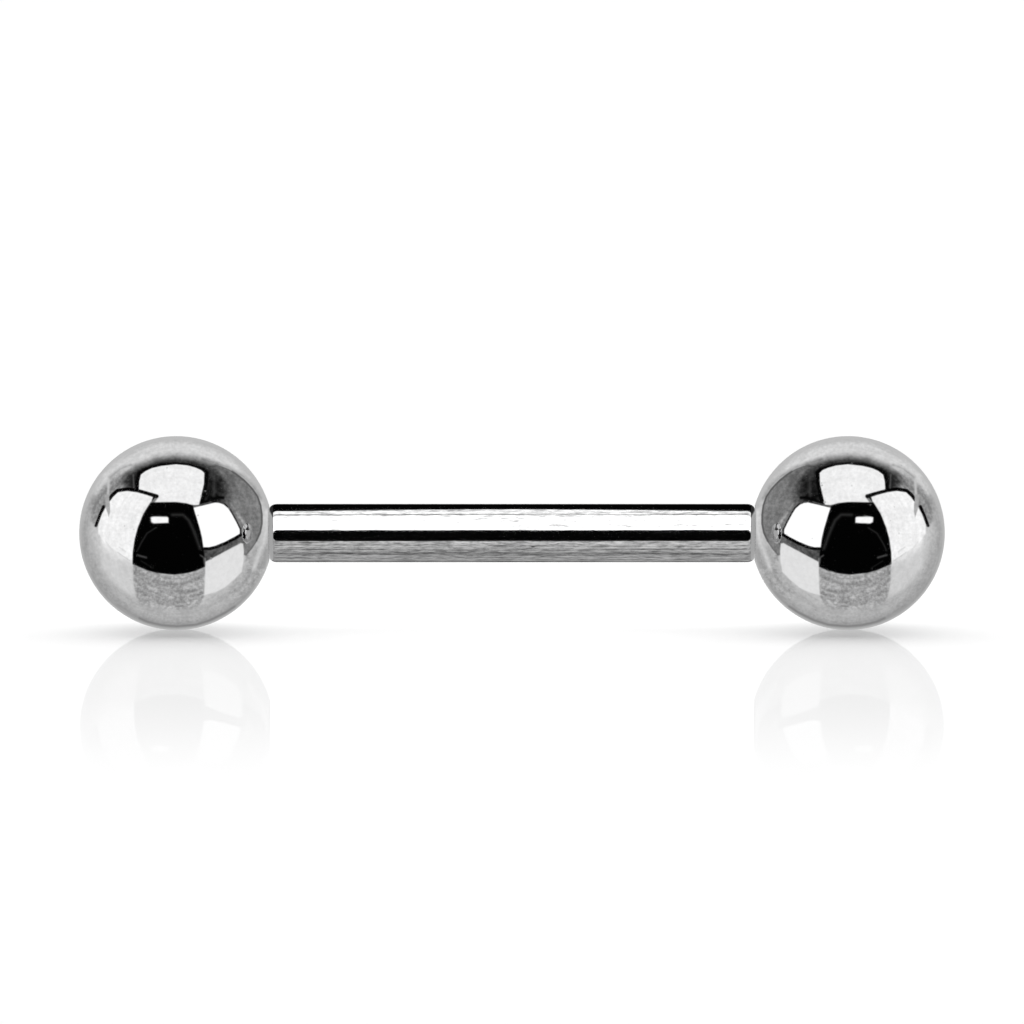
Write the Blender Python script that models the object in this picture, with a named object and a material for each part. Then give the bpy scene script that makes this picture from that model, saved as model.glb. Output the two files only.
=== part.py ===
# A straight piercing barbell: a polished bar with a threaded post at each end, and a ball on each post.
# The bar lies along X, the balls rest on the plane z = 0, and the bar's middle is above the origin.

import math

import bmesh
import bpy
from mathutils import Matrix

MM = 0.001

# Driving sizes of the bar and its balls
BALL_DIAMETER = 5.0 * MM
BAR_DIAMETER = 1.5 * MM
BAR_LENGTH = 12.5 * MM          # from shoulder to shoulder
SHOULDER_ROUND = 0.1 * MM       # radius of the corner round each shoulder

# The threaded posts, with a metric thread form
THREAD_DIAMETER = 1.2 * MM      # over the crests
THREAD_PITCH = 0.25 * MM
POST_LENGTH = 2.6 * MM          # from the shoulder to the tip
POST_NECK = 0.06 * MM           # plain neck beside the shoulder, before the thread's first turn
TIP_FLAT = 0.05 * MM            # plain length left at the tip after the last turn
TIP_TAPER = 0.12 * MM           # how far the tip's radius is below the thread's root

# Fits between the bar and a ball
SEAT_GAP = 0.03 * MM            # from the shoulder to the ball's flat seat
SEAT_MARGIN = 0.03 * MM         # how far the seat's rim stands outside the bar
BORE_CLEARANCE = 0.03 * MM      # round the thread's crests
BORE_SPARE = 0.25 * MM          # depth beyond the post's tip
DRILL_POINT = math.radians(118) # full angle of the cone at the bottom of the bore

# How finely the round shapes are faceted
BALL_SIDES = 32
BAR_SIDES = 24
CORNER_STEPS = 3

# The thread's profile over one pitch: share of the pitch, and share of the thread's depth
THREAD_PROFILE = (
    (0.0, 0.0),
    (1 / 4, 0.0),
    (9 / 16, 1.0),
    (11 / 16, 1.0),
)
THREAD_RISE = 0.75              # share of a pitch over which the ridge rises out of the root, and sinks into it

# Sizes that follow from the ones above
BALL_RADIUS = BALL_DIAMETER / 2
BAR_RADIUS = BAR_DIAMETER / 2
HALF_BAR = BAR_LENGTH / 2
THREAD_DEPTH = 5 / 8 * math.sqrt(3) / 2 * THREAD_PITCH
ROOT_RADIUS = THREAD_DIAMETER / 2 - THREAD_DEPTH
SEAT_RADIUS = BAR_RADIUS + SEAT_MARGIN
SEAT_DISTANCE = math.sqrt(BALL_RADIUS ** 2 - SEAT_RADIUS ** 2)
BALL_PLACE = HALF_BAR + SEAT_GAP + SEAT_DISTANCE
BORE_RADIUS = THREAD_DIAMETER / 2 + BORE_CLEARANCE
BORE_DEPTH = POST_LENGTH - SEAT_GAP + BORE_SPARE


def clear_scene():
    for item in list(bpy.data.objects):
        bpy.data.objects.remove(item, do_unlink=True)


def polished_metal(name, colour, roughness):
    material = bpy.data.materials.new(name)
    material.use_nodes = True
    shader = material.node_tree.nodes["Principled BSDF"]
    shader.inputs["Base Color"].default_value = (*colour, 1.0)
    shader.inputs["Roughness"].default_value = roughness
    shader.inputs["Metallic"].default_value = 1.0
    return material


def corner_radius(radius, sides):
    # The corners of a polygon whose flats touch a circle of this radius
    return radius / math.cos(math.pi / sides)


def ring(bm, x, radius, sides):
    # A polygon round the X axis, with a flat of it facing straight down
    reach = corner_radius(radius, sides)
    angles = [math.tau * (k + 0.5) / sides for k in range(sides)]
    return [bm.verts.new((x, reach * math.cos(a), reach * math.sin(a))) for a in angles]


def join_rings(bm, first, second):
    count = len(first)
    for k in range(count):
        following = (k + 1) % count
        bm.faces.new((first[k], first[following], second[following], second[k]))


def finish_mesh(bm, name):
    bmesh.ops.recalc_face_normals(bm, faces=bm.faces)
    mesh = bpy.data.meshes.new(name)
    bm.to_mesh(mesh)
    bm.free()
    mesh.shade_smooth()
    mesh.set_sharp_from_angle(angle=math.radians(35))
    return mesh


def add_object(name, mesh, material, place, turn=0.0):
    item = bpy.data.objects.new(name, mesh)
    item.location = place
    item.rotation_euler = (0.0, 0.0, turn)
    bpy.context.collection.objects.link(item)
    if not mesh.materials:
        mesh.materials.append(material)
    return item


# Ball

def ball_profile():
    # From the outer pole to the seat's rim, as flats that touch the sphere: pairs of place along X and radius
    half_step = math.pi / BALL_SIDES
    reach = corner_radius(BALL_RADIUS, BALL_SIDES)
    seat_angle = math.pi - math.asin(SEAT_RADIUS / BALL_RADIUS)
    profile = []
    angle = half_step
    while angle < seat_angle - half_step:
        profile.append((reach * math.cos(angle), reach * math.sin(angle)))
        angle += 2 * half_step
    profile.append((-SEAT_DISTANCE, SEAT_RADIUS))
    return profile


def ball_mesh():
    # The seat and the mouth of the bore face -X
    bm = bmesh.new()
    rings = [ring(bm, x, radius, BALL_SIDES) for x, radius in ball_profile()]
    rings.append(ring(bm, -SEAT_DISTANCE, BORE_RADIUS, BALL_SIDES))
    bore_end = BORE_DEPTH - SEAT_DISTANCE
    rings.append(ring(bm, bore_end, BORE_RADIUS, BALL_SIDES))
    for first, second in zip(rings, rings[1:]):
        join_rings(bm, first, second)
    bm.faces.new(rings[0])
    point = bm.verts.new((bore_end + BORE_RADIUS / math.tan(DRILL_POINT / 2), 0.0, 0.0))
    wall = rings[-1]
    for k in range(BALL_SIDES):
        bm.faces.new((wall[k], wall[(k + 1) % BALL_SIDES], point))
    return finish_mesh(bm, "ball")


# Bar and its posts

def shoulder_rings(bm):
    # From the bar's side round the corner to the flat shoulder, and in to the post's neck
    rings = []
    for step in range(CORNER_STEPS + 1):
        angle = math.pi / 2 * step / CORNER_STEPS
        x = HALF_BAR - SHOULDER_ROUND * (1 - math.sin(angle))
        radius = BAR_RADIUS - SHOULDER_ROUND * (1 - math.cos(angle))
        rings.append(ring(bm, x, radius, BAR_SIDES))
    rings.append(ring(bm, HALF_BAR, ROOT_RADIUS, BAR_SIDES))
    return rings


def add_thread(bm, neck, tip, start, end):
    # The post's side from the neck's ring to the tip's, with a right-hand ridge wound round it.
    # Each column of points runs along the post at one angle, and each next column starts a little further on,
    # so that after a whole round it meets the first column one pitch ahead.
    per_turn = len(THREAD_PROFILE)
    rows = int(per_turn * ((end - start) / THREAD_PITCH - 1))
    start = end - THREAD_PITCH * (rows / per_turn + 1)
    rise_from = start + THREAD_PITCH
    sink_to = end - THREAD_PITCH
    ramp = THREAD_RISE * THREAD_PITCH
    tip_x = HALF_BAR + POST_LENGTH

    def ridge(x):
        return max(0.0, min(1.0, (x - rise_from) / ramp, (sink_to - x) / ramp))

    def core(x):
        return ROOT_RADIUS - TIP_TAPER * max(0.0, (x - sink_to) / (tip_x - sink_to))

    def point(row, column):
        turn, step = divmod(row, per_turn)
        share, height = THREAD_PROFILE[step]
        x = start + THREAD_PITCH * (turn + share + column / BAR_SIDES)
        reach = corner_radius(core(x) + THREAD_DEPTH * height * ridge(x), BAR_SIDES)
        angle = math.tau * (column + 0.5) / BAR_SIDES
        return bm.verts.new((x, reach * math.cos(angle), reach * math.sin(angle)))

    columns = [[point(row, 0) for row in range(rows + per_turn + 1)]]
    for column in range(1, BAR_SIDES):
        columns.append([point(row, column) for row in range(rows + 1)])
    columns.append(columns[0][per_turn:])

    last = BAR_SIDES - 1
    for column in range(BAR_SIDES):
        here, beside = columns[column], columns[column + 1]
        for row in range(rows):
            bm.faces.new((here[row], beside[row], beside[row + 1], here[row + 1]))
        following = (column + 1) % BAR_SIDES
        at_neck = [here[0], neck[column], neck[following]]
        at_tip = [beside[rows], tip[following], tip[column]]
        at_neck += columns[0][:per_turn + 1] if column == last else [beside[0]]
        at_tip += columns[0][:rows - 1:-1] if column == 0 else [here[rows]]
        bm.faces.new(at_neck)
        bm.faces.new(at_tip)


def bar_mesh():
    # The right half, its copy turned round to the left, and the bar's long side between them
    bm = bmesh.new()
    rings = shoulder_rings(bm)
    for first, second in zip(rings, rings[1:]):
        join_rings(bm, first, second)
    tip_x = HALF_BAR + POST_LENGTH
    tip = ring(bm, tip_x, ROOT_RADIUS - TIP_TAPER, BAR_SIDES)
    add_thread(bm, rings[-1], tip, HALF_BAR + POST_NECK, tip_x - TIP_FLAT)
    bm.faces.new(tip)
    copy = bmesh.ops.duplicate(bm, geom=bm.verts[:] + bm.edges[:] + bm.faces[:])
    copied = [item for item in copy["geom"] if isinstance(item, bmesh.types.BMVert)]
    bmesh.ops.rotate(bm, verts=copied, cent=(0, 0, 0), matrix=Matrix.Rotation(math.pi, 3, "Z"))
    bmesh.ops.bridge_loops(bm, edges=[edge for edge in bm.edges if edge.is_boundary])
    return finish_mesh(bm, "bar")


def build():
    clear_scene()
    polish = polished_metal("ball_polish", (0.62, 0.62, 0.63), 0.06)
    drawn = polished_metal("bar_polish", (0.60, 0.60, 0.61), 0.12)
    ball = ball_mesh()
    add_object("bar", bar_mesh(), drawn, (0.0, 0.0, BALL_RADIUS))
    add_object("ball_right", ball, polish, (BALL_PLACE, 0.0, BALL_RADIUS))
    add_object("ball_left", ball, polish, (-BALL_PLACE, 0.0, BALL_RADIUS), turn=math.pi)


build()
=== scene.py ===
import math

import bmesh
import bpy
from mathutils import Matrix, Vector


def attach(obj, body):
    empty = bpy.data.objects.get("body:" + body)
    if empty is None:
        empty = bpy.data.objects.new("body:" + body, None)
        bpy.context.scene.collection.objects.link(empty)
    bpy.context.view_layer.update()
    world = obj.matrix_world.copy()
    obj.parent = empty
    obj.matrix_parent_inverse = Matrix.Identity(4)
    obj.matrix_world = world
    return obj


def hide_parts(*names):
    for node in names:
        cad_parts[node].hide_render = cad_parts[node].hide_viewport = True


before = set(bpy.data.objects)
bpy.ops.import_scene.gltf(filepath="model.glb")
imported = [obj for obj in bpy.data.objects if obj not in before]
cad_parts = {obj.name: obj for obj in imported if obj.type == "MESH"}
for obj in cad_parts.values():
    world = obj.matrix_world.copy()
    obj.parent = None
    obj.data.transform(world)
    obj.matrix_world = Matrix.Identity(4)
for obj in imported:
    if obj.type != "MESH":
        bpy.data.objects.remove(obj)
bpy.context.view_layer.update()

mm = 0.001


# Sums on a node's output become Math nodes, and every other node comes from Board.node

class Wire:
    def __init__(self, board, socket):
        self.board = board
        self.socket = socket

    def also(self, name):  # another output of the same node
        return Wire(self.board, self.socket.node.outputs[name])

    def __add__(self, other):
        return self.board.maths("ADD", self, other)

    def __sub__(self, other):
        return self.board.maths("SUBTRACT", self, other)

    def __rsub__(self, other):
        return self.board.maths("SUBTRACT", other, self)

    def __mul__(self, other):
        return self.board.maths("MULTIPLY", self, other)

    def __truediv__(self, other):
        return self.board.maths("DIVIDE", self, other)

    def __pow__(self, other):
        return self.board.maths("POWER", self, other)

    __radd__ = __add__
    __rmul__ = __mul__


class Board:
    def __init__(self, owner):
        owner.use_nodes = True
        self.owner = owner
        self.tree = owner.node_tree
        self.tree.nodes.clear()

    def node(self, kind, settings=None, sockets=None, out=0):
        made = self.tree.nodes.new("ShaderNode" + kind)
        for name, value in (settings or {}).items():
            if name == "stops":
                self.setStops(made.color_ramp, value)
            else:
                setattr(made, name, value)
        for name, value in (sockets or {}).items():
            if isinstance(value, Wire):
                self.tree.links.new(value.socket, made.inputs[name])
            else:
                made.inputs[name].default_value = value
        return Wire(self, made.outputs[out]) if made.outputs else made

    def setStops(self, ramp, stops):
        ramp.interpolation = "LINEAR"
        while len(ramp.elements) < len(stops):
            ramp.elements.new(1.0)
        for element, (place, tone) in zip(ramp.elements, stops):
            element.position = place
            element.color = (tone, tone, tone, 1)

    def maths(self, operation, *values):
        return self.node("Math", {"operation": operation}, dict(enumerate(values)))

    def dot(self, wire, axis):
        return self.node("VectorMath", {"operation": "DOT_PRODUCT"}, {0: wire, 1: axis}, "Value")

    def ease(self, value, low, high):  # 0 below low, 1 above high, and smooth between
        return self.node("MapRange", {"interpolation_type": "SMOOTHSTEP", "clamp": False},
                         {"Value": value, "From Min": low, "From Max": high})

    def noise(self, place, scale, detail=2.0, rough=0.5):
        return self.node("TexNoise", None,
                         {"Vector": place, "Scale": scale, "Detail": detail, "Roughness": rough})

    def grain(self, place, factors, detail=2.0, rough=0.5):  # noise with full contrast, from -0.5 to 0.5
        return self.ease(self.noise(self.scaled(place, factors), 1.0, detail, rough), 0.3, 0.7) - 0.5

    def ramp(self, value, stops):
        return self.node("SeparateColor", None, {0: self.node("ValToRGB", {"stops": stops}, {0: value})})

    def scaled(self, place, factors):
        return self.node("VectorMath", {"operation": "MULTIPLY"}, {0: place, 1: factors})

    def place(self):  # in the piece's own space, in mm
        return self.scaled(self.node("TexCoord", out="Object"), (1 / mm,) * 3)

    def direction(self):  # as seen from the piece's middle
        return self.node("VectorMath", {"operation": "NORMALIZE"}, {0: self.node("TexCoord", out="Object")})


def grey(tone):
    return (tone, tone, tone, 1.0)


# Camera

cameraPlace = {
    "distance": 300.0,   # mm, long lens
    "elevation": 5.5,    # degrees above the floor
    "lookAt": 3.046,     # mm above the floor
    "viewWidth": 26.39,  # mm across at that distance
}

cameraAngle = math.radians(cameraPlace["elevation"])
lookAt = Vector((0, 0, cameraPlace["lookAt"])) * mm
cameraAim = Vector((0, -math.cos(cameraAngle), math.sin(cameraAngle)))
cameraFrom = lookAt + cameraAim * cameraPlace["distance"] * mm
cameraData = bpy.data.cameras.new("camera")
cameraData.sensor_width = 36.0
cameraData.lens = 36.0 * cameraPlace["distance"] / cameraPlace["viewWidth"]
cameraData.clip_start = 0.001
camera = bpy.data.objects.new("camera", cameraData)
camera.location = cameraFrom
camera.rotation_euler = (lookAt - cameraFrom).to_track_quat("-Z", "Y").to_euler()
bpy.context.scene.collection.objects.link(camera)
bpy.context.scene.camera = camera
bpy.context.scene.view_settings.view_transform = "Standard"


# Mesh helpers; every round shape is wound round the X axis

def ringAt(bm, x, radius, sides):
    angles = [math.tau * (k + 0.5) / sides for k in range(sides)]
    return [bm.verts.new((x * mm, radius * math.cos(a) * mm, radius * math.sin(a) * mm)) for a in angles]


def joinRings(bm, first, second):
    count = len(first)
    for k in range(count):
        following = (k + 1) % count
        bm.faces.new((first[k], first[following], second[following], second[k]))


def closeRing(bm, ring, x):
    point = bm.verts.new((x * mm, 0, 0))
    for k in range(len(ring)):
        bm.faces.new((ring[k], ring[(k + 1) % len(ring)], point))


def spin(bm, profile, sides):
    rings = [ringAt(bm, x, radius, sides) for x, radius in profile]
    for first, second in zip(rings, rings[1:]):
        joinRings(bm, first, second)
    return rings


def arc(centreX, centreR, halfX, halfR, fromAngle, toAngle, steps):
    # points of an ellipse from one angle to another, as places along X and radii
    points = []
    for step in range(steps + 1):
        angle = math.radians(fromAngle + (toAngle - fromAngle) * step / steps)
        points.append((centreX + halfX * math.cos(angle), centreR + halfR * math.sin(angle)))
    return points


threadShape = {
    "pitch": 0.25,   # mm
    "rise": 0.75,    # share of a pitch over which the ridge comes up out of the plain wall
    "runIn": 0.01,   # mm of plain wall left at the mouth of the bore
    "runOut": 0.02,  # and past the thread's far end
    "profile": (     # share of the pitch, share of the depth: flat root, flank, flat crest
        (0.0, 0.06), (0.045, 0.0), (0.205, 0.0), (0.25, 0.06),
        (0.545, 0.94), (0.59, 1.0), (0.66, 1.0), (0.705, 0.94),
    ),
}


def windThread(bm, near, far, start, end, wall, depth):
    # A right-hand ridge wound between two rings. Each column of points starts a little further on than
    # the one beside it, so after one round it meets the first column a pitch ahead.
    sides = len(near)
    pitch, profile = threadShape["pitch"], threadShape["profile"]
    perTurn = len(profile)
    rows = int(perTurn * ((end - start) / pitch - 1))
    start = end - pitch * (rows / perTurn + 1)
    ramp = threadShape["rise"] * pitch

    def pointAt(row, column):
        turn, step = divmod(row, perTurn)
        share, height = profile[step]
        x = start + pitch * (turn + share + column / sides)
        ridge = max(0.0, min(1.0, (x - start - pitch) / ramp, (end - pitch - x) / ramp))
        radius = wall(x) + depth * height * ridge
        angle = math.tau * (column + 0.5) / sides
        return bm.verts.new((x * mm, radius * math.cos(angle) * mm, radius * math.sin(angle) * mm))

    columns = [[pointAt(row, 0) for row in range(rows + perTurn + 1)]]
    for column in range(1, sides):
        columns.append([pointAt(row, column) for row in range(rows + 1)])
    columns.append(columns[0][perTurn:])
    for column in range(sides):
        here, beside = columns[column], columns[column + 1]
        following = (column + 1) % sides
        for row in range(rows):
            bm.faces.new((here[row], beside[row], beside[row + 1], here[row + 1]))
        atNear = [here[0], near[column], near[following]]
        atFar = [beside[rows], far[following], far[column]]
        atNear += columns[0][:perTurn + 1] if column == sides - 1 else [beside[0]]
        atFar += columns[0][:rows - 1:-1] if column == 0 else [here[rows]]
        bm.faces.new(atNear)
        bm.faces.new(atFar)


def meshFrom(bm, name, sharpFrom=38):  # degrees between two faces
    bmesh.ops.recalc_face_normals(bm, faces=bm.faces)
    mesh = bpy.data.meshes.new(name)
    bm.to_mesh(mesh)
    bm.free()
    mesh.shade_smooth()
    mesh.set_sharp_from_angle(angle=math.radians(sharpFrom))
    return mesh


def placePiece(name, mesh, material, place, turn, body, node):
    piece = bpy.data.objects.new(name, mesh)
    piece.location = Vector(place) * mm
    piece.rotation_euler.z = math.radians(turn)
    bpy.context.scene.collection.objects.link(piece)
    if not mesh.materials:
        mesh.materials.append(material)
    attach(piece, body)
    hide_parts(node)
    return piece


def polishedMetal(board, look, shade, uneven, waves, cut, ringsAlong):
    # Shade, uneven and waves are what the marks on the polished skin do to its tone, its roughness and its
    # height. Cut is 1 on the turned metal, whose rings repeat along ringsAlong.
    colour = board.node("Mix", {"data_type": "RGBA", "blend_type": "MULTIPLY"},
                        {0: 1.0, 6: (*look["colour"], 1), 7: shade - cut * look["cutShade"] + 1.0}, 2)
    roughness = uneven + look["roughness"] + cut * (look["cutRoughness"] - look["roughness"])
    rings = board.maths("SINE", ringsAlong * look["toolGrain"]) * cut
    bump = board.node("Bump", None, {"Strength": 1.0, "Distance": look["waviness"] * mm,
                                     "Height": waves + rings * look["ringHeight"]})
    skin = board.node("BsdfPrincipled", None, {
        "Base Color": colour, "Metallic": 1.0, "Roughness": roughness, "Normal": bump})
    board.node("OutputMaterial", None, {"Surface": skin})
    return board.owner


# Balls: a true sphere with a flat seat, a countersunk mouth and a tapped blind bore

ballSizes = {                                  # mm
    "radius": 2.5,
    "sides": 128,
    "arcSteps": 72,
    "capAngle": 1.5,                           # degrees, of the small cap at the far end
    "seatRadius": 0.70,
    "seatRound": 0.03,
    "seatEdge": ((0.0025, 0.4), (0.0, -0.2)),  # its rounded edge: back in mm, and outward in seatRounds
    "seatAt": 2.3992,                          # from the ball's centre, a hair short of the bar's end
    "centreAt": 8.6552,                        # from the bar's middle
    "boreRadius": 0.63,
    "grooveDepth": 0.06,
    "countersink": 0.04,
    "boreDepth": 2.82,
    "threadTo": 2.55,
    "drillHalfAngle": 59.0,
}

ballLook = {
    "colour": (0.62, 0.62, 0.622),
    "fineGrain": 7.0,           # noise cells to the mm
    "cloudGrain": 1.7,
    "waveGrain": 2.8,
    "pitGrain": 2.6,
    "hairGrain": (1.2, 26, 9),
    "toolGrain": 210.0,         # turned rings on the seat
    "pitEdge": (0.10, 0.04),    # distance from a cell's middle where a pit starts, and where it is full
    "hairEdge": (0.62, 0.72),   # levels of the noise where a scratch starts, and where it is full
    "cutAcross": (0.79, 0.77),  # mm from the axis where the turned metal starts, and where it is full
    "cutAlong": (1.2, 1.0),     # the same from the ball's middle outward
    "mottle": 0.06,             # share by which the polished skin's tone wanders
    "pitShade": 0.16,
    "hairShade": 0.02,
    "cutShade": 0.12,
    "roughness": 0.045,
    "cutRoughness": 0.24,       # inside the bore and on the seat
    "fineRoughness": 0.02,
    "pitRoughness": 0.12,
    "hairRoughness": 0.05,
    "waviness": 0.00035,        # mm, of the hand-polished skin
    "fineHeight": 0.12,         # share of the waviness
    "pitDepth": 0.5,
    "ringHeight": 1.4,
}


def ballMesh(size):
    bm = bmesh.new()
    radius, seatAt = size["radius"], size["seatAt"]
    rounding = size["seatRound"]
    rim = math.degrees(math.asin((size["seatRadius"] + rounding) / radius))
    profile = arc(0, 0, radius, radius, size["capAngle"], 180 - rim, size["arcSteps"])
    profile += [(-seatAt + back, size["seatRadius"] + out * rounding) for back, out in size["seatEdge"]]
    profile += [(-seatAt, size["boreRadius"] + size["countersink"]),
                (-seatAt + size["countersink"], size["boreRadius"])]
    rings = spin(bm, profile, size["sides"])
    closeRing(bm, rings[0], radius)
    boreEnd = size["boreDepth"] - seatAt
    threadEnd = size["threadTo"] - seatAt
    inner = spin(bm, [(threadEnd + threadShape["runOut"], size["boreRadius"]), (boreEnd, size["boreRadius"])],
                 size["sides"])
    windThread(bm, rings[-1], inner[0], -seatAt + size["countersink"] + threadShape["runIn"], threadEnd,
               lambda x: size["boreRadius"], size["grooveDepth"])
    closeRing(bm, inner[-1], boreEnd + size["boreRadius"] / math.tan(math.radians(size["drillHalfAngle"])))
    return meshFrom(bm, "ball")


def ballFinish(look):
    board = Board(bpy.data.materials.new("polishedBall"))
    place = board.place()
    fine = board.grain(place, (look["fineGrain"],) * 3, 3.0, 0.6)
    cloud = board.grain(place, (look["cloudGrain"],) * 3)
    cells = board.node("TexVoronoi", None, {"Vector": place, "Scale": look["pitGrain"]}, "Distance")
    pits = board.ease(cells, *look["pitEdge"])
    hairs = board.ease(board.noise(board.scaled(place, look["hairGrain"]), 1.0), *look["hairEdge"])
    across = board.node("VectorMath", {"operation": "LENGTH"}, {0: board.scaled(place, (0, 1, 1))}, "Value")
    along = board.node("SeparateXYZ", None, {0: place})
    cut = board.ease(across, *look["cutAcross"]) * board.ease(along, *look["cutAlong"])  # seat and bore
    shade = ((fine + cloud * 0.5) * look["mottle"] * (1 - cut) - pits * look["pitShade"]
             - hairs * look["hairShade"])
    uneven = fine * look["fineRoughness"] + hairs * look["hairRoughness"] + pits * look["pitRoughness"]
    waves = (board.noise(place, look["waveGrain"], 1.0, 0.4) + fine * look["fineHeight"]
             - pits * look["pitDepth"])
    return polishedMetal(board, look, shade, uneven, waves, cut, across)


# Bar: centreless-polished rod with a turned thread at each end

barSizes = {                 # mm
    "radius": 0.75,
    "half": 6.25,            # from its middle to a shoulder
    "sides": 96,
    "endLength": 1.2,        # of the stretch beside a shoulder that is copied to the other end
    "cornerLength": 0.2,     # the polished-off corner at each shoulder
    "cornerDrop": 0.125,
    "cornerSteps": 12,
    "rootRadius": 0.464684,   # of an M1.2 thread
    "threadDepth": 0.135316,  # five eighths of the height of its triangle
    "postLength": 2.6,
    "neck": 0.06,
    "neckRound": 0.03,
    "neckProfile": ((0, 1), (0.3, 0.3), (1, 0)),  # in neckRounds, along the bar and outward
    "tipFlat": 0.05,
    "tipTaper": 0.12,
    "tipProfile": ((-0.02, 0.0), (-0.006, -0.008), (0.0, -0.03)),  # past the tip, and outward
    "tipDish": 0.01,
}

barLook = {
    "colour": (0.62, 0.62, 0.622),
    "streakGrain": (0.9, 12, 12),  # noise cells to the mm, along the bar and across it
    "fleckGrain": (3.2, 21, 21),
    "spotGrain": (2.2, 5, 5),
    "lineGrain": (0.18, 32, 32),
    "toolGrain": 190.0,
    "spotEdge": (0.16, 0.05),      # distance from a cell's middle where a spot starts, and where it is full
    "cutSoft": 0.004,              # mm before and past the shoulder where the turned metal starts
    "wornFrom": 0.2,               # mm before the shoulder where the drawn marks start to fade
    "wornTo": 0.08,
    "drawn": 0.58,                 # share by which the drawn skin's tone wanders
    "streak": 0.5,                 # how strong each mark is in that
    "fleck": 1.5,
    "line": 0.9,
    "spot": 0.5,
    "cutShade": 0.1,
    "roughness": 0.085,
    "cutRoughness": 0.26,          # on posts and threads
    "lineRoughness": 0.04,
    "waviness": 0.0002,            # mm
    "ringHeight": 1.2,             # share of the waviness
}


def barMesh(size):
    bm = bmesh.new()
    half, radius, sides = size["half"], size["radius"], size["sides"]
    root, neckRound = size["rootRadius"], size["neckRound"]
    length, drop = size["cornerLength"], size["cornerDrop"]
    corner = arc(half - length, radius - drop, length, drop, 90, 0, size["cornerSteps"])
    neck = [(half + neckRound * past, root + neckRound * out) for past, out in size["neckProfile"]]
    rings = spin(bm, [(half - size["endLength"], radius)] + corner + neck, sides)
    tipX = half + size["postLength"]
    threadEnd = tipX - size["tipFlat"]
    taperFrom = threadEnd - threadShape["pitch"]
    tip = spin(bm, [(tipX + past, root - size["tipTaper"] + out) for past, out in size["tipProfile"]], sides)

    def core(x):
        return root - size["tipTaper"] * max(0.0, (x - taperFrom) / (tipX - taperFrom))

    windThread(bm, rings[-1], tip[0], half + size["neck"], threadEnd, core, size["threadDepth"])
    closeRing(bm, tip[-1], tipX - size["tipDish"])
    copy = bmesh.ops.duplicate(bm, geom=bm.verts[:] + bm.edges[:] + bm.faces[:])
    copied = [item for item in copy["geom"] if isinstance(item, bmesh.types.BMVert)]
    bmesh.ops.rotate(bm, verts=copied, cent=(0, 0, 0), matrix=Matrix.Rotation(math.pi, 3, "Z"))
    bmesh.ops.bridge_loops(bm, edges=[edge for edge in bm.edges if edge.is_boundary])
    return meshFrom(bm, "bar")


def barFinish(look, size):
    board = Board(bpy.data.materials.new("polishedBar"))
    place = board.place()
    streaks = board.grain(place, look["streakGrain"], 2.0, 0.6)
    flecks = board.grain(place, look["fleckGrain"], 3.0, 0.7)
    lines = board.grain(place, look["lineGrain"], 1.0)
    cells = board.node("TexVoronoi", None,
                       {"Vector": board.scaled(place, look["spotGrain"]), "Scale": 1.0}, "Distance")
    spots = board.ease(cells, *look["spotEdge"])
    along = board.maths("ABSOLUTE", board.node("SeparateXYZ", None, {0: place}))
    cut = board.ease(along, size["half"] - look["cutSoft"], size["half"] + look["cutSoft"])
    worn = board.ease(along, size["half"] - look["wornTo"], size["half"] - look["wornFrom"])
    marks = streaks * look["streak"] + flecks * look["fleck"] + lines * look["line"] - spots * look["spot"]
    shade = marks * look["drawn"] * worn
    waves = (lines * 0.5 + streaks * 0.5) * worn
    return polishedMetal(board, look, shade, lines * look["lineRoughness"], waves, cut, along)


height = ballSizes["radius"]
ballSkin = ballFinish(ballLook)
ballForm = ballMesh(ballSizes)
bar = placePiece("barDetailed", barMesh(barSizes), barFinish(barLook, barSizes), (0, 0, height), 0,
                 "bar", "bar")
ends = (("right", 1, 0), ("left", -1, 180))  # which way along the bar, and degrees of turn
balls = {}
for side, sign, turn in ends:
    balls[side] = placePiece(side + "BallDetailed", ballForm, ballSkin,
                             (sign * ballSizes["centreAt"], 0, height), turn,
                             side + "_end", "ball_" + side)
bar.visible_glossy = False  # the balls and the floor don't mirror it
for piece in (bar, *balls.values()):
    print("piece made:", piece.name, len(piece.data.polygons), "faces")


# Floor and the light on it

floorLook = {
    "size": 2000.0,      # mm
    "white": 0.8,
    "skyLight": 4.9,     # a little over white, so faint shading clips
    "skySpread": 130.0,  # degrees of sky that give the light
    "skyTilt": 47.0,     # degrees that the light leans over from behind
    "fill": 0.27,        # part of the white that the shadow doesn't reach
    "mirror": 0.13,      # share of a mirror in the glossy floor, near the object
    "mirrorFrom": 14.0,  # mm from the object where that starts to fade
    "mirrorTo": 34.0,
}


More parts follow.
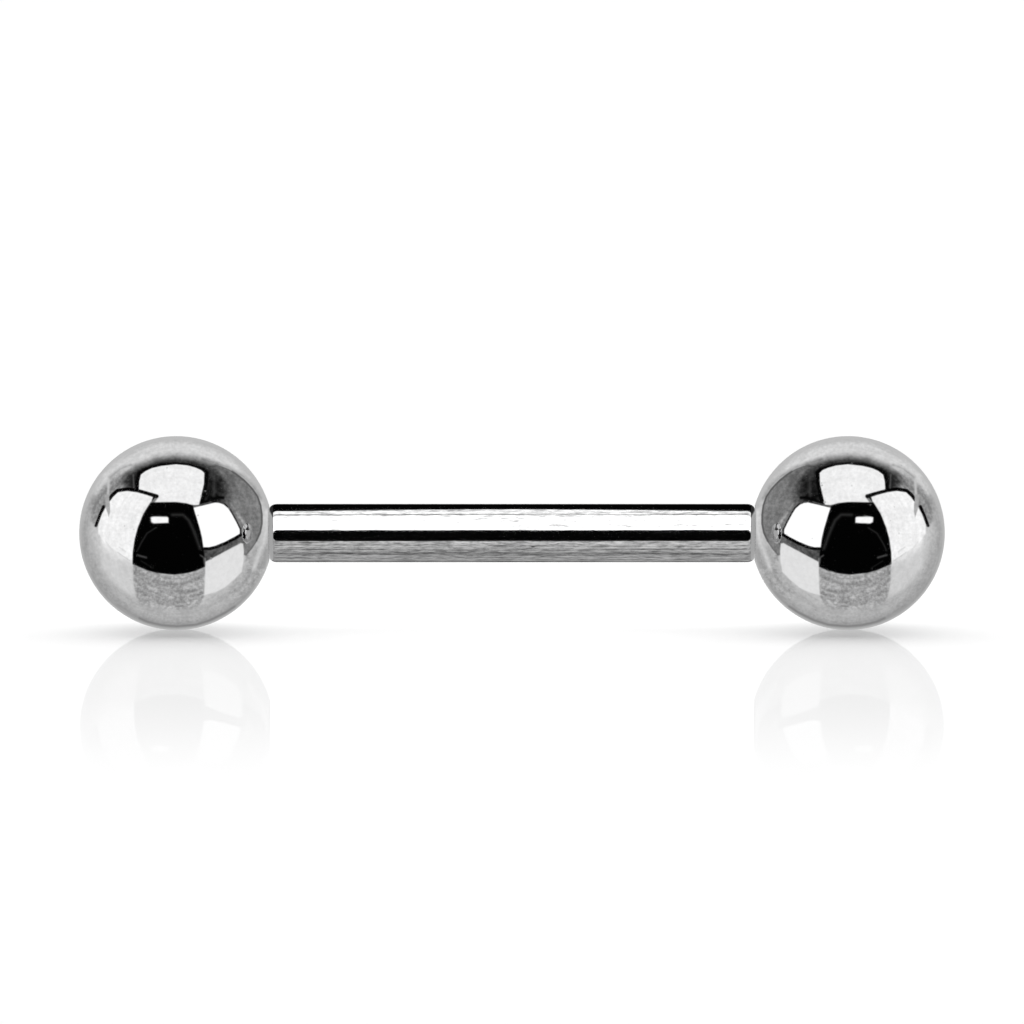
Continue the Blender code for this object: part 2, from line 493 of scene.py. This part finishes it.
def makeFloor(look):
    half = look["size"] / 2 * mm
    mesh = bpy.data.meshes.new("floor")
    corners = [(-half, -half, 0), (half, -half, 0), (half, half, 0), (-half, half, 0)]
    mesh.from_pydata(corners, [], [(0, 1, 2, 3)])
    floor = bpy.data.objects.new("floor", mesh)
    bpy.context.scene.collection.objects.link(floor)
    board = Board(bpy.data.materials.new("glossyFloor"))
    place = board.place()
    x = board.node("SeparateXYZ", None, {0: place})
    beyond = board.maths("MAXIMUM", board.maths("ABSOLUTE", x) - ballSizes["centreAt"], 0.0)
    reach = (beyond * beyond + x.also("Y") * x.also("Y")) ** 0.5
    matt = board.node("BsdfDiffuse", None, {"Color": grey(look["white"] - look["fill"])})
    glow = board.node("Emission", None, {"Color": grey(look["fill"]), "Strength": look["skyLight"] / math.pi})
    white = board.node("AddShader", None, {0: matt, 1: glow})
    mirror = board.node("BsdfGlossy", None, {"Color": grey(look["white"]), "Roughness": 0.0})
    share = board.ease(reach, look["mirrorTo"], look["mirrorFrom"]) * look["mirror"]
    surface = board.node("MixShader", None, {0: share, 1: white, 2: mirror})
    board.node("OutputMaterial", None, {"Surface": surface})
    mesh.materials.append(board.owner)
    floor.visible_glossy = False  # the metal sees the studio's lower half in its place
    return floor


def groupOf(name, *members):
    group = bpy.data.collections.new(name)
    for member in members:
        group.objects.link(member)
    return group


floor = makeFloor(floorLook)
skyData = bpy.data.lights.new("sky", "SUN")
skyData.energy = floorLook["skyLight"]
skyData.angle = math.radians(floorLook["skySpread"])
sky = bpy.data.objects.new("sky", skyData)
sky.rotation_euler.x = -math.radians(floorLook["skyTilt"])
bpy.context.scene.collection.objects.link(sky)
sky.light_linking.receiver_collection = groupOf("litBySky", floor)
sky.light_linking.blocker_collection = groupOf("shadedBySky", *balls.values())

world = bpy.data.worlds.new("world")
bpy.context.scene.world = world
worldBoard = Board(world)
backdrop = worldBoard.node("Background", None, {"Color": grey(1.0), "Strength": 1.0})
worldBoard.node("OutputWorld", None, {"Surface": backdrop})
world.cycles_visibility.glossy = False
world.cycles_visibility.diffuse = False
print("floor and sky made")


# Studio round each ball: a dome of light with softboxes and dark screens on it. Every corner is given where a
# mirror ball shows it from the front, as shares of the ball's radius across and up.

domeLook = {
    "radius": 60.0,                       # mm
    "subdivisions": 5,
    "metal": 0.64,                        # share of the light that the metal gives back
    "columns": (-0.52, -0.2, 0.12, 0.5),  # borders of the fields that it is cut into
    "rows": (-0.45, -0.05, 0.36),
    "overlap": 0.05,                      # by which a face of the dome may stand over a border
    "weaveGrain": 30.0,
    "cloudGrain": 8.0,
    "hoopGrain": (26.0, 2.0),             # from the middle outward, and round it
    "weave": 1.1,                         # how strong each of the three is
    "cloud": 0.6,
    "hoop": 0.6,
    "mottle": 0.055,                      # tones that they add where no card lies
    "mottleFrom": 0.985,                  # share of the radius where that starts, and where it is full
    "mottleTo": 0.92,
    "horizon": 0.35,                      # softness of the step from the lower tones to the upper ones
    # tones of the bare walls, from the middle of the ball to its rim
    "upper": ((0.0, 0.78), (0.78, 0.80), (0.86, 0.84), (0.91, 0.805), (0.95, 0.725), (0.98, 0.69),
              (1.0, 0.63)),
    "lower": ((0.0, 0.80), (0.64, 0.79), (0.72, 0.755), (0.77, 0.72), (0.80, 0.705), (0.84, 0.69),
              (0.88, 0.67), (0.91, 0.645), (0.945, 0.60), (0.965, 0.59), (0.985, 0.635), (1.0, 0.64)),
}

ballCentre = Vector((-ballSizes["centreAt"], 0, height)) * mm
sight = (ballCentre - cameraFrom).normalized()
sightRight = sight.cross(Vector((0, 0, 1))).normalized()
sightUp = sightRight.cross(sight)
leastReach = 0.000001  # keeps the sheet's scale finite straight behind the ball


def onDome(across, up):
    # where the mirror ball's ray from this spot meets the dome, as a direction from the ball's centre
    toward = math.sqrt(max(0.0, 1 - across * across - up * up))
    normal = sightRight * across + sightUp * up - sight * toward
    ray = sight + normal * (2 * toward)
    start = normal * ballSizes["radius"]
    reach = start.dot(ray)
    travel = -reach + math.sqrt(reach * reach - start.length_squared + domeLook["radius"] ** 2)
    return (start + ray * travel).normalized()


def onSheet(across, up):
    # the same spot on a flat sheet that shows the whole dome, its middle toward the camera
    aim = onDome(across, up)
    shrink = (2 * (1 - aim.dot(sight))) ** -0.5
    return Vector((aim.dot(sightRight) * shrink, aim.dot(sightUp) * shrink, 0))


lensEdge = [
    (0.54, 0.652), (0.62, 0.605), (0.7, 0.545), (0.786, 0.454), (0.84, 0.374), (0.871, 0.283),
    (0.884, 0.188), (0.883, 0.093), (0.864, 0.0), (0.823, -0.087), (0.771, -0.164), (0.715, -0.228),
]
floorEdge = [(-0.3, -0.912), (-0.15, -0.948), (0.0, -0.96), (0.2, -0.945), (0.35, -0.897), (0.5, -0.823)]

# Painted in this order. Tones are those seen in the metal, and soft and wide are shares of the ball's radius.
# A slope gives the place across where the tone is as written, and by how much it changes in a radius.
studioCards = {
    "leftRim": {
        "line": [(-0.85, 0.36), (-0.915, 0.15), (-0.935, 0.0), (-0.93, -0.15), (-0.87, -0.36)],
        "wide": 0.03, "soft": 0.04, "tone": 0.64, "mottle": 0.05,
    },
    "leftWall": {
        "corners": [(-0.8, 0.04), (-0.885, 0.15), (-0.86, 0.3), (-0.78, 0.44), (-0.66, 0.57),
            (-0.56, 0.635), (-0.46, 0.64), (-0.5, 0.42)],
        "soft": 0.035, "tone": 0.56, "mottle": 0.14,
    },
    "wallLineDark": {
        "line": [(-0.845, 0.25), (-0.81, 0.33), (-0.72, 0.44)],
        "wide": 0.006, "soft": 0.015, "tone": 0.5,
    },
    "wallLineLight": {
        "line": [(-0.73, 0.585), (-0.62, 0.685), (-0.5, 0.74), (-0.4, 0.745)],
        "wide": 0.012, "soft": 0.04, "tone": 0.84, "mottle": 0.06,
    },
    "wallLineGrey": {
        "line": [(-0.68, 0.575), (-0.58, 0.655), (-0.47, 0.705)],
        "wide": 0.006, "soft": 0.03, "tone": 0.58, "mottle": 0.06,
    },
    "wallLineUpright": {
        "line": [(-0.693, 0.54), (-0.7, 0.37)],
        "wide": 0.011, "soft": 0.015, "tone": 0.78,
    },
    "rightRim": {
        "line": [(0.93, 0.22), (0.925, 0.05), (0.9, -0.1), (0.85, -0.22), (0.8, -0.36), (0.78, -0.42)],
        "wide": 0.02, "soft": 0.025, "tone": 0.81, "mottle": 0.04,
    },
    "rightCorner": {
        "line": [(0.86, -0.4), (0.74, -0.52), (0.6, -0.62)],
        "wide": 0.05, "soft": 0.04, "tone": 0.66, "mottle": 0.12,
    },
    "rightPost": {
        "line": [(0.725, -0.22), (0.755, -0.32), (0.745, -0.42), (0.7, -0.5)],
        "wide": 0.022, "soft": 0.03, "tone": 0.65, "mottle": 0.14,
    },
    "lensHaze": {
        "line": [(0.28, 0.76), (0.52, 0.68), (0.68, 0.59), (0.8, 0.475), (0.87, 0.36)],
        "wide": 0.012, "soft": 0.03, "tone": 0.6, "mottle": 0.05,
    },
    "leftGlow": {
        "corners": [(-0.8, -0.12), (-0.44, -0.22), (-0.42, -0.66), (-0.56, -0.6), (-0.77, -0.36)],
        "soft": 0.05, "tone": 0.81, "mottle": 0.03,
    },
    "ceilingShade": {
        "corners": [(-0.4, 0.38), (-0.5, 0.44), (-0.53, 0.53), (-0.5, 0.6), (-0.4, 0.68), (-0.2, 0.755),
            (0.0, 0.778), (0.2, 0.755), (0.39, 0.68), (0.5, 0.6), (0.45, 0.3), (-0.2, 0.3)],
        "soft": 0.07, "tone": 0.1, "mottle": 0.1,
    },
    "ceilingStreak": {
        "line": [(-0.44, 0.6), (-0.432, 0.46)],
        "wide": 0.007, "soft": 0.012, "tone": 0.33,
    },
    "lens": {
        "corners": [(0.36, 0.7), (0.45, 0.685), *lensEdge, (0.5, -0.24), (0.25, -0.15), (0.2, 0.3)],
        "soft": 0.006, "tone": 0.48, "slope": (0.65, 0.12), "mottle": 0.09,
    },
    "lensDim": {
        "corners": [(0.2, 0.68), (0.42, 0.67), (0.57, 0.56), (0.6, 0.42), (0.56, 0.28), (0.4, 0.26),
            (0.2, 0.28)],
        "soft": 0.06, "tone": 0.34, "mottle": 0.1,
    },
    "lensDark": {
        "corners": [(0.2, 0.67), (0.38, 0.65), (0.48, 0.55), (0.5, 0.43), (0.45, 0.3), (0.2, 0.28)],
        "soft": 0.07, "tone": 0.11, "mottle": 0.1,
    },
    "lensFold": {
        "line": [(0.37, 0.64), (0.395, 0.53), (0.385, 0.4)],
        "wide": 0.012, "soft": 0.025, "tone": 0.24, "mottle": 0.06,
    },
    "lensFoldTwo": {
        "line": [(0.46, 0.63), (0.56, 0.5), (0.6, 0.42)],
        "wide": 0.012, "soft": 0.025, "tone": 0.47, "mottle": 0.06,
    },
    "lensHem": {
        "line": [(0.4, 0.7), (0.47, 0.68), *lensEdge],
        "wide": 0.004, "soft": 0.008, "tone": 0.36,
    },
    "lensHemDeep": {
        "line": [(0.58, 0.632), (0.62, 0.605), (0.69, 0.548), (0.74, 0.502), (0.786, 0.45), (0.838, 0.374),
            (0.868, 0.283), (0.881, 0.188), (0.88, 0.093), (0.861, 0.0), (0.825, -0.08)],
        "wide": 0.007, "soft": 0.012, "tone": 0.33,
    },
    "lensStreak": {
        "line": [(0.56, 0.3), (0.6, 0.245)],
        "wide": 0.01, "soft": 0.015, "tone": 0.58, "mottle": 0.1,
    },
    "lensStreakTwo": {
        "line": [(0.625, 0.205), (0.665, 0.145), (0.705, 0.09), (0.728, 0.045)],
        "wide": 0.014, "soft": 0.014, "tone": 0.65, "mottle": 0.12,
    },
    "topFrame": {
        "corners": [(-0.415, 0.44), (-0.415, 0.53), (-0.394, 0.622), (-0.32, 0.669), (-0.25, 0.693),
            (-0.15, 0.718), (0.0, 0.727), (0.12, 0.716), (0.2, 0.697), (0.29, 0.67), (0.335, 0.63),
            (0.322, 0.5), (0.284, 0.3), (-0.2, 0.3)],
        "soft": 0.012, "tone": 0.02,
    },
    "topSoftbox": {
        "corners": [(-0.384, 0.44), (-0.38, 0.53), (-0.362, 0.602), (-0.312, 0.64), (-0.25, 0.668),
            (-0.15, 0.692), (0.0, 0.708), (0.12, 0.696), (0.2, 0.673), (0.26, 0.648), (0.292, 0.617),
            (0.286, 0.5), (0.246, 0.33), (0.235, 0.286), (-0.25, 0.3)],
        "soft": 0.007, "tone": 0.95, "mottle": 0.05,
    },
    "softboxLip": {
        "line": [(-0.19, 0.375), (-0.235, 0.318)],
        "wide": 0.01, "soft": 0.01, "tone": 0.45,
    },
    "outerFrameTop": {
        "line": [(-0.69, 0.345), (-0.655, 0.39), (-0.603, 0.437), (-0.5, 0.452), (-0.4, 0.436),
            (-0.3, 0.409), (-0.2, 0.38)],
        "wide": 0.019, "soft": 0.006, "tone": 0.0,
    },
    "outerFrameTip": {
        "corners": [(-0.32, 0.405), (-0.197, 0.384), (-0.262, 0.305), (-0.32, 0.3)],
        "soft": 0.007, "tone": 0.02,
    },
    "outerFrameSide": {
        "line": [(-0.745, 0.275), (-0.782, 0.19), (-0.824, 0.08)],
        "wide": 0.015, "soft": 0.007, "tone": 0.0,
    },
    "outerGlow": {
        "corners": [(-0.8, 0.06), (-0.43, 0.06), (-0.44, -0.31), (-0.6, -0.275), (-0.78, -0.14)],
        "soft": 0.05, "tone": 0.9, "mottle": 0.05,
    },
    "outerSoftbox": {
        "corners": [(-0.803, 0.09), (-0.762, 0.2), (-0.7, 0.305), (-0.645, 0.378), (-0.598, 0.422),
            (-0.5, 0.436), (-0.4, 0.421), (-0.3, 0.393), (-0.237, 0.371), (-0.45, -0.285), (-0.6, -0.2),
            (-0.74, -0.09), (-0.8, 0.0)],
        "soft": 0.008, "tone": 0.96, "mottle": 0.06,
    },
    "softboxShade": {
        "corners": [(-0.737, 0.4), (-0.688, 0.4), (-0.678, 0.23), (-0.691, 0.165), (-0.719, 0.25)],
        "soft": 0.007, "tone": 0.66, "mottle": 0.05,
    },
    "softboxCrease": {
        "line": [(-0.585, -0.145), (-0.52, -0.19)],
        "wide": 0.004, "soft": 0.012, "tone": 0.83,
    },
    "softboxCreaseTwo": {
        "line": [(-0.72, -0.09), (-0.66, -0.17)],
        "wide": 0.004, "soft": 0.012, "tone": 0.86,
    },
    "softboxHem": {
        "line": [(-0.6, -0.195), (-0.475, -0.285)],
        "wide": 0.002, "soft": 0.007, "tone": 0.76,
    },
    "screenGap": {
        "corners": [(0.27, -0.1), (0.66, -0.01), (0.71, -0.06), (0.7, -0.13), (0.33, -0.31), (0.27, -0.31)],
        "soft": 0.007, "tone": 0.34, "slope": (0.5, 0.35), "mottle": 0.1,
    },
    "lowSoftbox": {
        "corners": [(0.297, -0.296), (0.662, -0.104), (0.688, -0.11), (0.696, -0.2), (0.69, -0.3),
            (0.672, -0.4), (0.6, -0.474), (0.5, -0.56), (0.4, -0.61), (0.285, -0.64), (0.29, -0.45)],
        "soft": 0.009, "tone": 0.89,
    },
    "innerFrameTop": {
        "line": [(0.262, 0.3), (0.355, 0.343), (0.427, 0.364), (0.482, 0.362)],
        "wide": 0.013, "soft": 0.01, "tone": 0.02,
    },
    "innerFrameEdge": {
        "line": [(0.2, 0.278), (0.3, 0.303), (0.36, 0.32)],
        "wide": 0.005, "soft": 0.007, "tone": 0.35,
    },
    "innerFrameSide": {
        "line": [(0.5, 0.298), (0.545, 0.257), (0.578, 0.2), (0.632, 0.1), (0.663, 0.035), (0.663, -0.01)],
        "wide": 0.006, "soft": 0.006, "tone": 0.05,
    },
    "innerFrameLow": {
        "line": [(0.27, -0.158), (0.345, -0.16), (0.41, -0.143), (0.51, -0.103), (0.61, -0.052),
            (0.662, -0.02)],
        "wide": 0.015, "soft": 0.006, "tone": 0.0,
    },
    "innerSoftbox": {
        "corners": [(0.17, 0.258), (0.22, 0.27), (0.3, 0.292), (0.4, 0.314), (0.45, 0.308), (0.49, 0.292),
            (0.536, 0.25), (0.568, 0.2), (0.622, 0.1), (0.652, 0.035), (0.652, -0.008), (0.6, -0.04),
            (0.5, -0.092), (0.4, -0.132), (0.34, -0.147), (0.26, -0.147)],
        "soft": 0.007, "tone": 1.04,
    },
    "underCloth": {
        "corners": [(-0.446, -0.26), (0.296, -0.26), (0.292, -0.5), (0.28, -0.66), (0.2, -0.8),
            (0.0, -0.87), (-0.25, -0.84), (-0.4, -0.72), (-0.44, -0.5)],
        "fade": [(-0.6, -0.1), (0.5, -0.1), (0.46, -0.62), (0.3, -0.725), (0.16, -0.765), (0.0, -0.78),
            (-0.2, -0.765), (-0.36, -0.715), (-0.54, -0.58)],
        "fadeSoft": 0.04, "soft": 0.012, "tone": 0.635, "mottle": 0.17,
    },
    "clothGlow": {
        "line": [(-0.27, -0.56), (-0.2, -0.58)],
        "wide": 0.016, "soft": 0.025, "tone": 0.8, "mottle": 0.1,
    },
    "darkRoom": {
        "corners": [(-0.262, 0.316), (0.0, 0.319), (0.105, 0.305), (0.17, 0.285), (0.241, 0.05),
            (0.264, -0.05), (0.285, -0.2), (0.294, -0.345), (0.2, -0.388), (0.1, -0.411), (-0.02, -0.426),
            (-0.2, -0.408), (-0.3, -0.38), (-0.448, -0.315), (-0.446, -0.2), (-0.424, -0.05),
            (-0.396, 0.05), (-0.336, 0.2)],
        "soft": 0.008, "tone": 0.0,
    },
    "roomStand": {
        "line": [(-0.04, 0.188), (0.07, 0.188), (0.13, 0.13), (0.18, 0.02), (0.245, -0.16)],
        "wide": 0.01, "soft": 0.026, "tone": 0.22,
    },
    "roomArc": {
        "line": [(-0.21, 0.055), (-0.3, 0.0), (-0.36, -0.1), (-0.4, -0.18)],
        "wide": 0.006, "soft": 0.012, "tone": 0.17,
    },
    "roomTable": {
        "line": [(-0.4, -0.225), (-0.31, -0.25)],
        "wide": 0.01, "soft": 0.01, "tone": 0.26,
    },
    "roomShelf": {
        "line": [(-0.36, -0.285), (-0.24, -0.36)],
        "wide": 0.005, "soft": 0.009, "tone": 0.13,
    },
    "roomSwitch": {
        "line": [(0.25, -0.23), (0.28, -0.25), (0.29, -0.32)],
        "wide": 0.006, "soft": 0.01, "tone": 0.34,
    },
    "window": {
        "corners": [(-0.262, 0.163), (-0.23, 0.172), (-0.09, 0.168), (-0.078, 0.155), (-0.078, 0.105),
            (-0.23, 0.098), (-0.258, 0.115)],
        "soft": 0.009, "tone": 1.0,
    },
    "floorLineEnds": {
        "line": [(-0.6, -0.735), (-0.5, -0.805), (-0.4, -0.865), *floorEdge, (0.62, -0.742), (0.75, -0.62)],
        "wide": 0.004, "soft": 0.022, "tone": 0.57,
    },
    "floorLine": {
        "line": [(-0.38, -0.876), *floorEdge, (0.6, -0.758)],
        "wide": 0.007, "soft": 0.018, "tone": 0.46,
    },
}


def cornersMask(board, sheet, corners, soft):
    # 1 inside a card; no outline has a dent in it
    corners = [onSheet(*corner) for corner in corners]
    centre = sum(corners, Vector()) / len(corners)
    inside = None
    for first, second in zip(corners, corners[1:] + corners[:1]):
        inward = Vector((first.y - second.y, second.x - first.x, 0)).normalized()
        if inward.dot(centre - first) < 0:
            inward.negate()
        off = board.dot(sheet, (inward.x, inward.y, -inward.dot(first)))
        inside = off if inside is None else board.maths("MINIMUM", inside, off)
    return board.ease(inside, -soft, soft)


def lineMask(board, sheet, points, wide, soft):
    # 1 on a chain of straight lines
    points = [onSheet(*point) for point in points]
    nearest = None
    for first, second in zip(points, points[1:]):
        step = second - first
        pace = step / step.length_squared
        share = board.maths("MAXIMUM", board.dot(sheet, (pace.x, pace.y, -pace.dot(first))), 0.0)
        share = board.maths("MINIMUM", share, 1.0)
        past = board.node("VectorMath", {"operation": "SUBTRACT"}, {0: sheet, 1: first + Vector((0, 0, 1))})
        reach = board.node("VectorMath", {"operation": "SCALE"}, {0: step, "Scale": share})
        off = board.node("VectorMath", {"operation": "DISTANCE"}, {0: past, 1: reach}, "Value")
        nearest = off if nearest is None else board.maths("MINIMUM", nearest, off)
    return board.ease(nearest, wide + soft, wide - soft)


def glowing(board, tone, look, clearShare=None):
    # Light that the metal gives back as the tone, added to what is behind it or mixed with it. Tones are
    # as a screen shows them, and this is the screen's own curve from them to light.
    radiance = (board.maths("MAXIMUM", tone, 0.0) * (1 / 1.055) + 0.055 / 1.055) ** 2.4
    glow = board.node("Emission", None, {"Color": radiance, "Strength": 1 / look["metal"]})
    clear = board.node("BsdfTransparent", None, {"Color": grey(1.0)})
    if clearShare is None:
        surface = board.node("AddShader", None, {0: clear, 1: glow})
    else:
        surface = board.node("MixShader", None, {0: clearShare, 1: glow, 2: clear})
    board.node("OutputMaterial", None, {"Surface": surface})
    board.owner.cycles.emission_sampling = "NONE"
    return board.owner


def paintStudio(look, cards, name):
    board = Board(bpy.data.materials.new(name))
    aim = board.direction()
    front = board.dot(aim, -sight)
    shrink = board.maths("MAXIMUM", (front + 1.0) * 2.0, leastReach) ** -0.5
    side, rise = board.dot(aim, sightRight), board.dot(aim, sightUp)
    across, up = side * shrink, rise * shrink
    edge = (0.5 - front * 0.5) ** 0.5
    sheet = board.node("CombineXYZ", None, {0: across, 1: up, 2: 1.0})
    weave = board.grain(sheet, (look["weaveGrain"],) * 3, 3.0, 0.7)
    cloud = board.grain(sheet, (look["cloudGrain"],) * 3)
    outward, around = look["hoopGrain"]
    polar = board.node("CombineXYZ", None, {0: edge * outward, 1: across * around, 2: up * around})
    hoops = board.grain(polar, (1, 1, 1))
    sky = board.ease(rise, -look["horizon"], look["horizon"])
    tone = board.ramp(edge, look["lower"]) * (1 - sky) + board.ramp(edge, look["upper"]) * sky
    mottle = board.ease(edge, look["mottleFrom"], look["mottleTo"]) * look["mottle"]
    for card in cards:
        if "line" in card:
            mask = lineMask(board, sheet, card["line"], card["wide"], card["soft"])
        else:
            mask = cornersMask(board, sheet, card["corners"], card["soft"])
        if "fade" in card:  # one side of it has no crisp edge
            mask = mask * cornersMask(board, sheet, card["fade"], card["fadeSoft"])
        own = card["tone"]
        if "slope" in card:
            own = (across - card["slope"][0]) * card["slope"][1] + own
        tone = tone + (own - tone) * mask
        mottle = mottle + (card.get("mottle", 0.0) - mottle) * mask
    tone = tone + (weave * look["weave"] + cloud * look["cloud"] + hoops * look["hoop"]) * mottle
    return glowing(board, tone, look)


barBands = [  # degrees round the bar's axis from straight ahead, upward; and the tone seen there
    (-180, 0.15), (-152, 0.36), (-142, 0.53), (-126, 0.58), (-96, 0.58), (-90, 0.55), (-86, 0.46),
    (-82, 0.46), (-78, 0.60), (-68, 0.62), (-64, 0.52), (-61, 0.52), (-58, 0.65), (-38, 0.65),
    (-29, 0.69), (-15, 0.70), (0, 1.25), (60, 1.25), (70, 1.20), (77, 1.09), (80, 0.99), (81.8, 0.66),
    (84.4, 0.66), (86.4, 0.94), (92, 0.95), (98, 0.93), (106, 0.94), (110, 0.99), (113, 0.98),
    (117, 0.01), (180, 0.01),
]

barScreen = {
    "middle": -4.2,      # degrees, as above
    "half": 21.8,        # degrees from the middle to its edges
    "roundFrom": 0.13,   # where its corners start to round, as the share of a ray that goes along the bar
    "roundTo": 0.62,
    "endHeight": 0.4,    # share of its height that is left at its ends
    "endSoft": (0.72, 0.66),  # where it has ended, and where it starts to
    "soft": 0.06,
    "tone": 0.01,
    "topDrop": 12.0,     # degrees by which the upper dark screen hangs lower at its ends
    "topFrom": (88, 100),  # degrees over which that sets in
    "wander": 6.0,       # degrees by which the lower bands wander
    "wanderFrom": (-20, -45),
    "wanderGrain": (34, 1.2, 1.2),
    "brightest": 1.25,   # the bands' highest tone, as a ramp holds none over 1
}


def paintBarStudio(look, bands, screen):
    board = Board(bpy.data.materials.new("barDome"))
    aim = board.direction()
    along = board.node("SeparateXYZ", None, {0: aim})
    angle = board.maths("ARCTAN2", along.also("Z"), along.also("Y") * -1.0)
    stops = [((degrees + 180) / 360, tone / screen["brightest"]) for degrees, tone in bands]
    outward = board.maths("ABSOLUTE", along)
    low = board.ease(angle, *map(math.radians, screen["wanderFrom"]))
    high = board.ease(angle, *map(math.radians, screen["topFrom"]))
    wander = board.grain(aim, screen["wanderGrain"], 2.0, 0.6) * low * math.radians(2 * screen["wander"])
    drop = board.ease(outward, 0.0, screen["roundFrom"]) * high * math.radians(screen["topDrop"])
    tone = board.ramp((angle + wander + drop) / math.tau + 0.5, stops) * screen["brightest"]
    span = screen["roundTo"] - screen["roundFrom"]
    past = board.maths("MAXIMUM", board.maths("MINIMUM", (outward - screen["roundFrom"]) / span, 1.0), 0.0)
    half = (1 - past * past) ** 0.5 * (1 - screen["endHeight"]) + screen["endHeight"]
    off = board.maths("ABSOLUTE", angle - math.radians(screen["middle"])) / math.radians(screen["half"])
    dark = board.ease(half - off, -screen["soft"], screen["soft"]) * board.ease(outward, *screen["endSoft"])
    return glowing(board, tone + (screen["tone"] - tone) * dark, look)


def cardReach(look, card):
    # lowest and highest places across and up that a card may touch
    points = [onSheet(*point) for point in card.get("line", card.get("corners"))]
    room = card["soft"] + card.get("wide", 0.0) + look["overlap"]
    return [(min(values) - room, max(values) + room) for values in zip(*[point.xy for point in points])]


def fieldNumber(value, borders):
    return sum(value > border for border in borders)


def inField(number, reach, borders):
    return fieldNumber(reach[0], borders) <= number <= fieldNumber(reach[1], borders)


def ballDomeMaterials(look, cards):
    # the dome is cut into fields, so that each needs only its own few cards
    materials = []
    reaches = [cardReach(look, card) for card in cards]
    for row in range(len(look["rows"]) + 1):
        for column in range(len(look["columns"]) + 1):
            near = [card for card, (wide, high) in zip(cards, reaches)
                    if inField(column, wide, look["columns"]) and inField(row, high, look["rows"])]
            materials.append(paintStudio(look, near, f"studioField{row}{column}"))
    return materials


def ballDomeField(look, direction):
    shrink = max(2 * (1 - direction.dot(sight)), leastReach) ** -0.5
    column = fieldNumber(direction.dot(sightRight) * shrink, look["columns"])
    row = fieldNumber(direction.dot(sightUp) * shrink, look["rows"])
    return row * (len(look["columns"]) + 1) + column


def domeMesh(name, look, materials, fieldOf=None):
    bm = bmesh.new()
    bmesh.ops.create_icosphere(bm, subdivisions=look["subdivisions"], radius=look["radius"] * mm)
    if fieldOf:
        for face in bm.faces:
            face.material_index = fieldOf(look, face.calc_center_median().normalized())
    mesh = bpy.data.meshes.new(name)
    bm.to_mesh(mesh)
    bm.free()
    for material in materials:
        mesh.materials.append(material)
    return mesh


def placeGlow(name, mesh, x, mirroredBy, turn=0.0, flip=1):
    # on the bar's axis, and only in the mirror image that the given pieces show
    glow = bpy.data.objects.new(name, mesh)
    glow.location = Vector((x, 0, height)) * mm
    glow.rotation_euler.z = math.radians(turn)
    glow.scale.x = flip
    bpy.context.scene.collection.objects.link(glow)
    glow.visible_camera = False
    glow.visible_diffuse = False
    glow.visible_shadow = False
    glow.light_linking.receiver_collection = groupOf(name + "SeenBy", *mirroredBy)


# Glowing rings in the gap at each shoulder, seen only in the mirrors of the bar and the balls: a painted
# reflection at the joint, darker over the bar's crest
jointCards = {
    "shoulderAt": 6.2515,   # mm from the bar's middle, between its end and the ball
    "shoulderInner": 0.02,  # almost closed, so that no mirror shows the bore behind it
    "shoulderOuter": 0.875,
    "shoulderReflectionTone": 0.65,
    "crestReflectionTone": 0.16,      # over the bar's crest
    "crestAt": 0.60,        # mm above the bar's axis
    "crestSoft": 0.05,
}


def ringMesh(name, inner, outer, material, sides=48):
    bm = bmesh.new()
    joinRings(bm, ringAt(bm, 0, outer, sides), ringAt(bm, 0, inner, sides))
    for face in bm.faces:
        face.normal_update()
        if face.normal.x > 0:  # it faces back along X
            face.normal_flip()
    mesh = bpy.data.meshes.new(name)
    bm.to_mesh(mesh)
    bm.free()
    mesh.materials.append(material)
    return mesh


# the ring's glow is a painted reflection: the shoulder tone, and a darker tone over the bar's crest
def shoulderCardMaterial(cards, look):
    board = Board(bpy.data.materials.new("shoulderCard"))
    above = board.node("SeparateXYZ", None, {0: board.node("TexCoord", out="Object")}).also("Z") / mm
    crest = board.ease(above, cards["crestAt"] - cards["crestSoft"], cards["crestAt"] + cards["crestSoft"])
    tone = crest * (cards["crestReflectionTone"] - cards["shoulderReflectionTone"]) + cards["shoulderReflectionTone"]
    return glowing(board, tone, look, board.node("NewGeometry", out="Backfacing"))


shoulderRing = ringMesh("shoulderCard", jointCards["shoulderInner"], jointCards["shoulderOuter"],
                        shoulderCardMaterial(jointCards, domeLook))
for side, sign, turn in ends:
    placeGlow(side + "ShoulderCard", shoulderRing, sign * jointCards["shoulderAt"],
              [bar, *balls.values()], turn)

fields = ballDomeMaterials(domeLook, list(studioCards.values()))
ballDome = domeMesh("ballDome", domeLook, fields, ballDomeField)
placeGlow("leftDome", ballDome, -ballSizes["centreAt"], [balls["left"]])
placeGlow("rightDome", ballDome, ballSizes["centreAt"], [balls["right"]], flip=-1)
barDome = domeMesh("barDome", domeLook, [paintBarStudio(domeLook, barBands, barScreen)])
placeGlow("barDome", barDome, 0, [bar])
nodeCount = sum(len(field.node_tree.nodes) for field in fields)
print("studio domes made:", len(fields), "fields with", nodeCount, "nodes")
